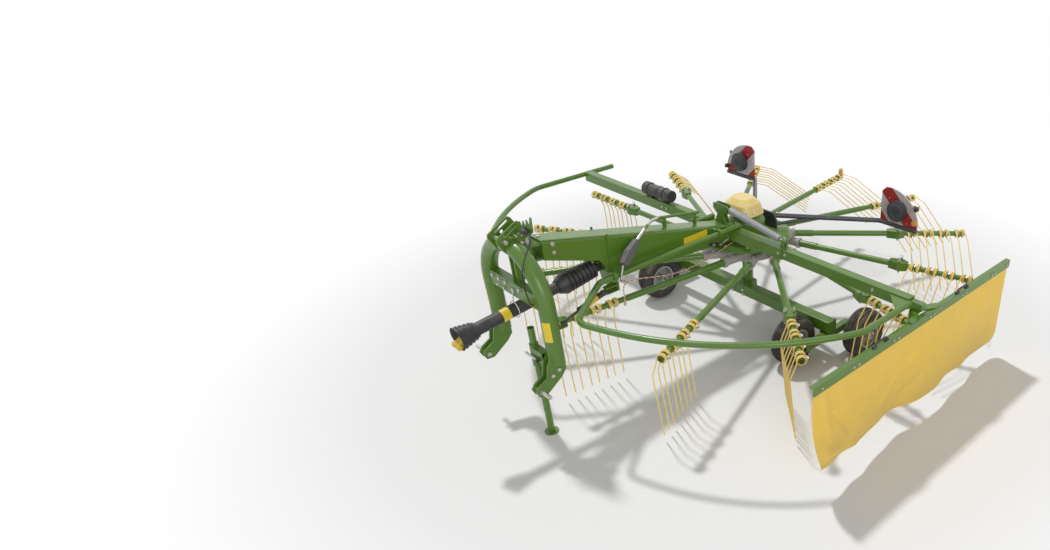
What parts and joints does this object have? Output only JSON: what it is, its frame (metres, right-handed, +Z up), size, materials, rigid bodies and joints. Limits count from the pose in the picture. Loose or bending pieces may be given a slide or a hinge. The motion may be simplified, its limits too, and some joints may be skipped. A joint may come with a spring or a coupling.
{
  "type": "rotary hay rake",
  "caption": "Three-point mounted single-rotor hay rake with offset tine arms, folding guard hoops, a side swath curtain and a swivelling headstock.",
  "frame": {"origin": "on the ground, under the middle of the machine's footprint", "axes": "+Z up, -Y the way the machine travels, +X its left side, where the curtain hangs"},
  "size_m": [3.7613, 4.4344, 1.57],
  "materials": {
    "green_paint": "semi-gloss powder coat",
    "slate_paint": "satin paint",
    "cast_grey": "cast, painted grey",
    "tine_yellow": "lacquered spring wire",
    "cover_cream": "moulded plastic",
    "curtain_yellow": "coated tarpaulin",
    "bright_steel": "zinc plated",
    "spring_grey": "wound spring wire",
    "black_plastic": "moulded plastic",
    "grip_grey": "moulded plastic",
    "damper_black": "satin black",
    "yoke_yellow": "forged and painted",
    "board_red": "retro-reflecting red and silver stripes",
    "rim_grey": "pressed steel, silver grey",
    "rope_fibre": "laid rope of orange and pale yarns",
    "tyre_black": "ribbed rubber"
  },
  "bodies": {
    "frame": {"boom": "green_paint", "rotor_housing": "green_paint", "dome_cover": "cover_cream", "centre_column": "green_paint", "axle_beam": "green_paint", "rocker_left": "green_paint", "rocker_right": "green_paint", "spring_mast": "green_paint", "shaft_bearing": "green_paint", "light_arms": "slate_paint", "light_boards": "board_red", "tail_lamps": "black_plastic", "height_crank": "green_paint", "crank_grip": "grip_grey", "pull_rope": "rope_fibre", "rope_knot": "rope_fibre"},
    "rotor": {"rotor_hub": "cast_grey", "tine_arms": "green_paint", "spring_tines": "tine_yellow"},
    "headstock": {"headstock_arch": "green_paint", "swivel_pin": "bright_steel", "top_link_bracket": "green_paint", "top_link_pin": "bright_steel", "lower_link_plates": "green_paint", "lower_link_pins": "bright_steel", "hose_rack": "green_paint", "jack_sleeve": "green_paint", "shaft_hanger": "bright_steel", "light_cable": "black_plastic", "cable_plug": "black_plastic"},
    "jack": {"jack_leg": "green_paint"},
    "drive_shaft": {"shaft_tube": "black_plastic", "shaft_bellows": "black_plastic", "shaft_cone": "black_plastic", "shaft_yoke": "yoke_yellow"},
    "damper_barrel": {"damper_barrel": "damper_black"},
    "damper_rod": {"damper_rod": "damper_black"},
    "guard_left": {"guard_hoop_left": "green_paint", "guard_beam_left": "green_paint"},
    "lift_spring": {"lift_spring": "spring_grey"},
    "curtain": {"curtain_carrier": "green_paint", "curtain_rail": "green_paint", "curtain": "curtain_yellow"},
    "guard_right": {"guard_hoop_right": "green_paint", "guard_beam_right": "green_paint", "document_canister": "black_plastic"},
    "wheel_front_left": {"tyre_front_left": "tyre_black", "rim_front_left": "rim_grey"},
    "wheel_rear_left": {"tyre_rear_left": "tyre_black", "rim_rear_left": "rim_grey"},
    "wheel_front_right": {"tyre_front_right": "tyre_black", "rim_front_right": "rim_grey"},
    "wheel_rear_right": {"tyre_rear_right": "tyre_black", "rim_rear_right": "rim_grey"}
  },
  "joints": [
    {"name": "rotor_spin", "type": "hinge", "parent": "frame", "child": "rotor", "pos_m": [-0.023, 0.3455, 0.672], "axis": [0, 0, 1], "continuous": true},
    {"name": "headstock_swivel", "type": "hinge", "parent": "frame", "child": "headstock", "pos_m": [-0.023, -1.5995, 1.246], "axis": [0, 0, 1], "range_deg": [-12, 12]},
    {"name": "jack_height", "type": "slide", "parent": "headstock", "child": "jack", "axis": [0, 0, 1], "range_m": [0, 0.33]},
    {"name": "shaft_swing", "type": "hinge", "parent": "frame", "child": "drive_shaft", "pos_m": [-0.023, -1.1115, 0.97152], "axis": [0, 0, 1], "range_deg": [-3.2, 3.2]},
    {"name": "damper_swing", "type": "hinge", "parent": "frame", "child": "damper_barrel", "pos_m": [0.077, -1.1345, 0.825], "axis": [0, 0, 1], "range_deg": [-4, 4]},
    {"name": "damper_stroke", "type": "slide", "parent": "damper_barrel", "child": "damper_rod", "axis": [0.434, -0.895, 0.1031], "range_m": [-0.062, 0.062]},
    {"name": "guard_left_fold", "type": "hinge", "parent": "frame", "child": "guard_left", "pos_m": [0.127, 0.0755, 0.932], "axis": [0, -1, 0], "range_deg": [0, 85], "deforming": ["lift_spring"]},
    {"name": "lift_spring_swing", "type": "hinge", "parent": "frame", "child": "lift_spring", "pos_m": [0.033, 0.0755, 1.059], "axis": [0, -1, 0], "range_deg": [0, 84]},
    {"name": "curtain_slide", "type": "slide", "parent": "guard_left", "child": "curtain", "axis": [1, 0, 0], "range_m": [0, 0.45]},
    {"name": "guard_right_fold", "type": "hinge", "parent": "frame", "child": "guard_right", "pos_m": [-0.173, 0.0755, 0.932], "axis": [0, 1, 0], "range_deg": [0, 85]},
    {"name": "wheel_spin_front_left", "type": "hinge", "parent": "frame", "child": "wheel_front_left", "pos_m": [0.787, 0.0195, 0.197], "axis": [1, 0, 0], "continuous": true},
    {"name": "wheel_spin_rear_left", "type": "hinge", "parent": "frame", "child": "wheel_rear_left", "pos_m": [1.115, 0.4915, 0.197], "axis": [1, 0, 0], "continuous": true},
    {"name": "wheel_spin_front_right", "type": "hinge", "parent": "frame", "child": "wheel_front_right", "pos_m": [-0.833, 0.0195, 0.197], "axis": [1, 0, 0], "continuous": true},
    {"name": "wheel_spin_rear_right", "type": "hinge", "parent": "frame", "child": "wheel_rear_right", "pos_m": [-1.161, 0.4915, 0.197], "axis": [1, 0, 0], "continuous": true}
  ],
  "couplings": [
    {"joint": "shaft_swing", "follows": "headstock_swivel", "ratio": 0.252},
    {"joint": "damper_swing", "follows": "headstock_swivel", "ratio": 0.316},
    {"joint": "damper_stroke", "follows": "headstock_swivel", "m_per_rad": -0.2904},
    {"joint": "lift_spring_swing", "follows": "guard_left_fold", "ratio": 0.982}
  ]
}
